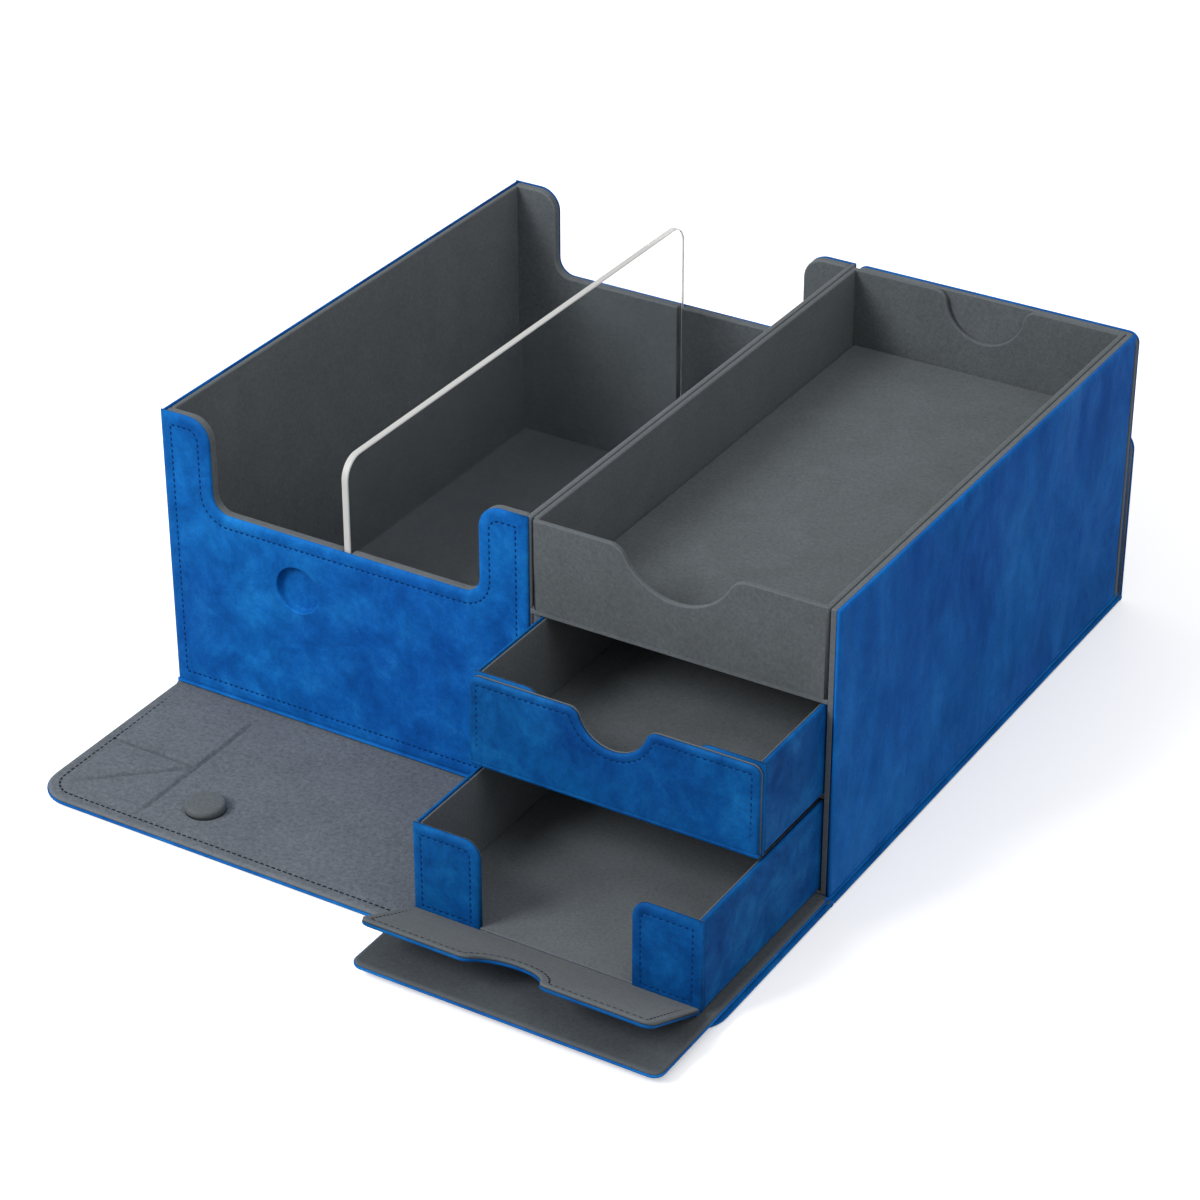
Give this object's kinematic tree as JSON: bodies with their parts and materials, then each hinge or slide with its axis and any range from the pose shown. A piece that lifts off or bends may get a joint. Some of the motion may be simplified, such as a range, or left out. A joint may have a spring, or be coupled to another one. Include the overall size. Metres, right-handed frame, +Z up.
{
  "type": "card storage box",
  "caption": "Leatherette card storage box with a divided card bay, drop-front drawers under a lift-out tray, a hinged cover and a loose flap lid that lies under the case.",
  "frame": {"origin": "on the lid's underside, below the middle of the case", "axes": "+X to the right along the front, +Y to the back, +Z up"},
  "size_m": [0.261, 0.337, 0.1102],
  "materials": {
    "blue_leatherette": "matte grained leatherette over board",
    "grey_microfibre": "grey microfibre over board",
    "dark_microfibre": "dark grey microfibre over board",
    "clear_acrylic": "clear polished sheet",
    "magnet_steel": "nickel-plated disc magnet"
  },
  "bodies": {
    "case": {"base_panel": "blue_leatherette", "front_wall": "blue_leatherette", "back_wall": "blue_leatherette", "left_wall": "blue_leatherette", "right_panel": "blue_leatherette", "back_panel": "blue_leatherette", "partition_wall": "grey_microfibre", "left_lining": "grey_microfibre", "front_lining_left": "grey_microfibre", "front_lining_right": "grey_microfibre", "back_lining_left": "grey_microfibre", "back_lining_right": "grey_microfibre", "floor_pad_left": "grey_microfibre", "floor_pad_right": "grey_microfibre", "right_lining": "grey_microfibre", "back_panel_lining": "grey_microfibre", "bay_floor": "grey_microfibre", "bay_wall": "grey_microfibre", "drawer_shelf": "grey_microfibre", "tray_shelf": "grey_microfibre", "closure_magnet": "magnet_steel"},
    "card_divider": {"card_divider": "clear_acrylic"},
    "accessory_tray": {"tray_floor": "dark_microfibre", "tray_left_wall": "dark_microfibre", "tray_right_wall": "dark_microfibre", "tray_front_wall": "dark_microfibre", "tray_back_wall": "dark_microfibre"},
    "front_cover": {"cover_board": "blue_leatherette", "cover_lining": "grey_microfibre"},
    "lid": {"lid_panel": "blue_leatherette", "lid_panel_lining": "grey_microfibre"},
    "lid_front_flap": {"lid_front_flap_board": "blue_leatherette", "lid_front_flap_lining": "grey_microfibre", "snap_button": "grey_microfibre"},
    "lid_rear_flap": {"lid_rear_flap_board": "blue_leatherette", "lid_rear_flap_lining": "grey_microfibre"},
    "upper_drawer": {"upper_drawer_floor": "blue_leatherette", "upper_drawer_left_wall": "blue_leatherette", "upper_drawer_right_wall": "blue_leatherette", "upper_drawer_back_wall": "blue_leatherette", "upper_drawer_left_post": "blue_leatherette", "upper_drawer_right_post": "blue_leatherette", "upper_drawer_magnets": "magnet_steel"},
    "upper_flap": {"upper_flap_board": "blue_leatherette", "upper_flap_lining": "grey_microfibre", "upper_flap_magnets": "magnet_steel"},
    "lower_drawer": {"lower_drawer_floor": "blue_leatherette", "lower_drawer_left_wall": "blue_leatherette", "lower_drawer_right_wall": "blue_leatherette", "lower_drawer_back_wall": "blue_leatherette", "lower_drawer_left_post": "blue_leatherette", "lower_drawer_right_post": "blue_leatherette", "lower_drawer_magnets": "magnet_steel"},
    "lower_flap": {"lower_flap_board": "blue_leatherette", "lower_flap_lining": "grey_microfibre", "lower_flap_magnets": "magnet_steel"}
  },
  "joints": [
    {"name": "divider_lift", "type": "slide", "parent": "case", "child": "card_divider", "axis": [0, 0, 1], "range_m": [0, 0.11]},
    {"name": "tray_lift", "type": "slide", "parent": "case", "child": "accessory_tray", "axis": [0, 0, 1], "range_m": [0, 0.06]},
    {"name": "upper_drawer_slide", "type": "slide", "parent": "case", "child": "upper_drawer", "axis": [0, -1, 0], "range_m": [-0.0422, 0.1078]},
    {"name": "upper_flap_hinge", "type": "hinge", "parent": "upper_drawer", "child": "upper_flap", "pos_m": [0.0731, -0.1538, 0.0432], "axis": [1, 0, 0], "range_deg": [0, 90]},
    {"name": "lower_drawer_slide", "type": "slide", "parent": "case", "child": "lower_drawer", "axis": [0, -1, 0], "range_m": [-0.0785, 0.0715]},
    {"name": "lower_flap_hinge", "type": "hinge", "parent": "lower_drawer", "child": "lower_flap", "pos_m": [0.0731, -0.1901, 0.007], "axis": [1, 0, 0], "range_deg": [-65, 25]},
    {"name": "lid_drop", "type": "slide", "parent": "case", "child": "lid", "axis": [0, 0, -1], "range_m": [0, 0.08]},
    {"name": "lid_front_hinge", "type": "hinge", "parent": "lid", "child": "lid_front_flap", "pos_m": [0, -0.1117, 0.0013], "axis": [1, 0, 0], "range_deg": [0, 90]},
    {"name": "cover_hinge", "type": "hinge", "parent": "case", "child": "front_cover", "pos_m": [0.07375, -0.1146, 0.0041], "axis": [1, 0, 0], "range_deg": [0, 90]},
    {"name": "lid_rear_hinge", "type": "hinge", "parent": "lid", "child": "lid_rear_flap", "pos_m": [0, 0.1147, 0.0013], "axis": [1, 0, 0], "range_deg": [-90, 0]}
  ],
  "couplings": [
    {"joint": "cover_hinge", "follows": "lid_front_hinge", "ratio": 1}
  ]
}
